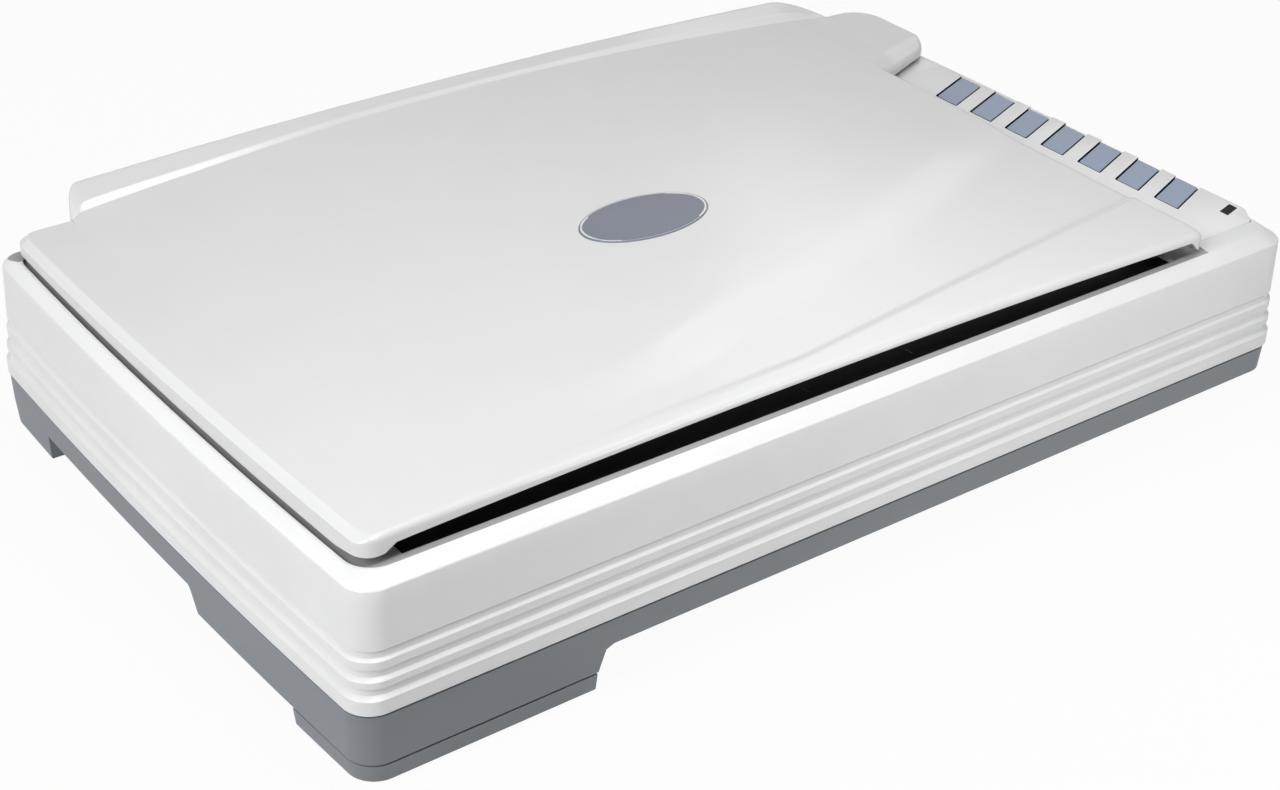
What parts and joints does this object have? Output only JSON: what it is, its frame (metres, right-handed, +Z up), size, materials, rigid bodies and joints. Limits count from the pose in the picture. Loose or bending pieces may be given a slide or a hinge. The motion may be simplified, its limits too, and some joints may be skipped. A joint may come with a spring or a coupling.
{
  "type": "flatbed book scanner",
  "caption": "Large white flatbed scanner with a hinged lift-up lid, finger gap along the front, side row of skewed keys and a grey stepped plinth.",
  "frame": {"origin": "floor level, middle of the box in plan", "axes": "+X along the front from left to right, +Y from front to back, +Z up"},
  "size_m": [0.6242, 0.3938, 0.1375],
  "materials": {
    "plinth_plastic": "textured slate grey moulding",
    "riser_plastic": "textured slate grey moulding",
    "pad_rubber": "matt rubber",
    "housing_plastic": "fine textured white moulding",
    "platen_glass": "clear float glass",
    "mask_black": "printed black",
    "strip_white": "matt white reference",
    "rod_steel": "ground steel",
    "holder_plastic": "moulded black",
    "rail_steel": "zinc plated sheet",
    "motor_steel": "zinc plated can",
    "belt_rubber": "toothed belt",
    "board_green": "solder mask",
    "socket_metal": "tinned shell",
    "socket_black": "moulded black",
    "cable_white": "flat flexible cable",
    "switch_black": "moulded black",
    "window_black": "smoked window",
    "screw_steel": "zinc plated",
    "pinion_brass": "turned",
    "gear_plastic": "acetal",
    "carriage_black": "moulded black",
    "lamp_white": "white lamp tube",
    "reflector": "bright sheet",
    "mirror": "front silvered",
    "hinge_plastic": "moulded light grey",
    "lid_plastic": "satin white moulding",
    "liner_plastic": "moulded white",
    "pad_foam": "white foam backed sheet",
    "badge_grey": "plain oval plate",
    "key_blue": "blue grey key caps"
  },
  "bodies": {
    "base": {"base_pan": "plinth_plastic", "plinth_blocks": "plinth_plastic", "socket_plate": "plinth_plastic", "riser_foot": "riser_plastic", "inset_feet": "riser_plastic", "rubber_pads": "pad_rubber", "upper_housing": "housing_plastic", "button_panel": "housing_plastic", "platen_glass": "platen_glass", "platen_mask": "mask_black", "calibration_strip": "strip_white", "guide_rod": "rod_steel", "rod_holders": "holder_plastic", "support_rail": "rail_steel", "drive_motor": "motor_steel", "motor_bracket": "rail_steel", "belt_shafts": "rod_steel", "idler_bracket": "rail_steel", "tension_spring": "rail_steel", "drive_belt": "belt_rubber", "main_board": "board_green", "usb_socket": "socket_metal", "power_socket": "socket_black", "flat_cable": "cable_white", "key_board": "board_green", "key_switches": "switch_black", "indicator_window": "window_black", "hinge_sleeves": "holder_plastic", "housing_screws": "screw_steel", "board_screws": "screw_steel"},
    "hinge_lift": {"hinge_posts": "hinge_plastic", "hinge_pins": "rod_steel"},
    "lid": {"lid_shell": "lid_plastic", "lid_liner": "liner_plastic", "document_pad": "pad_foam", "lid_badge": "badge_grey", "lid_knuckles": "hinge_plastic", "lid_bumpers": "pad_rubber", "lid_screws": "screw_steel"},
    "carriage": {"carriage_frame": "carriage_black", "carriage_cover": "carriage_black", "lamp_bar": "lamp_white", "lamp_reflector": "reflector", "mirrors": "mirror", "lens_barrel": "carriage_black", "sensor_board": "board_green", "rod_bushes": "pinion_brass", "slide_pad": "gear_plastic", "belt_clamp": "carriage_black"},
    "belt_drive": {"drive_gear": "gear_plastic", "drive_pulley": "gear_plastic"},
    "belt_idler": {"idler_pulley": "gear_plastic"},
    "pinion": {"motor_pinion": "pinion_brass"},
    "key_1_cap": {"key_1": "key_blue"},
    "key_2_cap": {"key_2": "key_blue"},
    "key_3_cap": {"key_3": "key_blue"},
    "key_4_cap": {"key_4": "key_blue"},
    "key_5_cap": {"key_5": "key_blue"},
    "key_6_cap": {"key_6": "key_blue"},
    "key_7_cap": {"key_7": "key_blue"}
  },
  "joints": [
    {"name": "lid_lift", "type": "slide", "parent": "base", "child": "hinge_lift", "axis": [0, 0, 1], "range_m": [0, 0.025]},
    {"name": "lid_hinge", "type": "hinge", "parent": "hinge_lift", "child": "lid", "pos_m": [0, 0.18485, 0.125], "axis": [-1, 0, 0], "range_deg": [0, 85]},
    {"name": "carriage_slide", "type": "slide", "parent": "base", "child": "carriage", "axis": [-1, 0, 0], "range_m": [0, 0.447], "deforming": ["flat_cable"]},
    {"name": "drive_spin", "type": "hinge", "parent": "base", "child": "belt_drive", "pos_m": [-0.272, -0.07015, 0.047], "axis": [0, 0, 1], "range_deg": [-5, 3293]},
    {"name": "idler_spin", "type": "hinge", "parent": "base", "child": "belt_idler", "pos_m": [0.279, -0.07015, 0.041], "axis": [0, 0, 1], "range_deg": [-5, 3293]},
    {"name": "pinion_spin", "type": "hinge", "parent": "base", "child": "pinion", "pos_m": [-0.266, -0.04076, 0.047], "axis": [0, 0, 1], "range_deg": [-16465, 25]},
    {"name": "key_1_press", "type": "slide", "parent": "base", "child": "key_1_cap", "axis": [0, 0, -1], "range_m": [0, 0.0008], "stiffness_N_per_m": 500, "springref_m": -0.002},
    {"name": "key_2_press", "type": "slide", "parent": "base", "child": "key_2_cap", "axis": [0, 0, -1], "range_m": [0, 0.0008], "stiffness_N_per_m": 500, "springref_m": -0.002},
    {"name": "key_3_press", "type": "slide", "parent": "base", "child": "key_3_cap", "axis": [0, 0, -1], "range_m": [0, 0.0008], "stiffness_N_per_m": 500, "springref_m": -0.002},
    {"name": "key_4_press", "type": "slide", "parent": "base", "child": "key_4_cap", "axis": [0, 0, -1], "range_m": [0, 0.0008], "stiffness_N_per_m": 500, "springref_m": -0.002},
    {"name": "key_5_press", "type": "slide", "parent": "base", "child": "key_5_cap", "axis": [0, 0, -1], "range_m": [0, 0.0008], "stiffness_N_per_m": 500, "springref_m": -0.002},
    {"name": "key_6_press", "type": "slide", "parent": "base", "child": "key_6_cap", "axis": [0, 0, -1], "range_m": [0, 0.0008], "stiffness_N_per_m": 500, "springref_m": -0.002},
    {"name": "key_7_press", "type": "slide", "parent": "base", "child": "key_7_cap", "axis": [0, 0, -1], "range_m": [0, 0.0008], "stiffness_N_per_m": 500, "springref_m": -0.002}
  ],
  "couplings": [
    {"joint": "drive_spin", "follows": "carriage_slide", "rad_per_m": 128.21},
    {"joint": "idler_spin", "follows": "carriage_slide", "rad_per_m": 128.21},
    {"joint": "pinion_spin", "follows": "carriage_slide", "rad_per_m": -641.03}
  ]
}
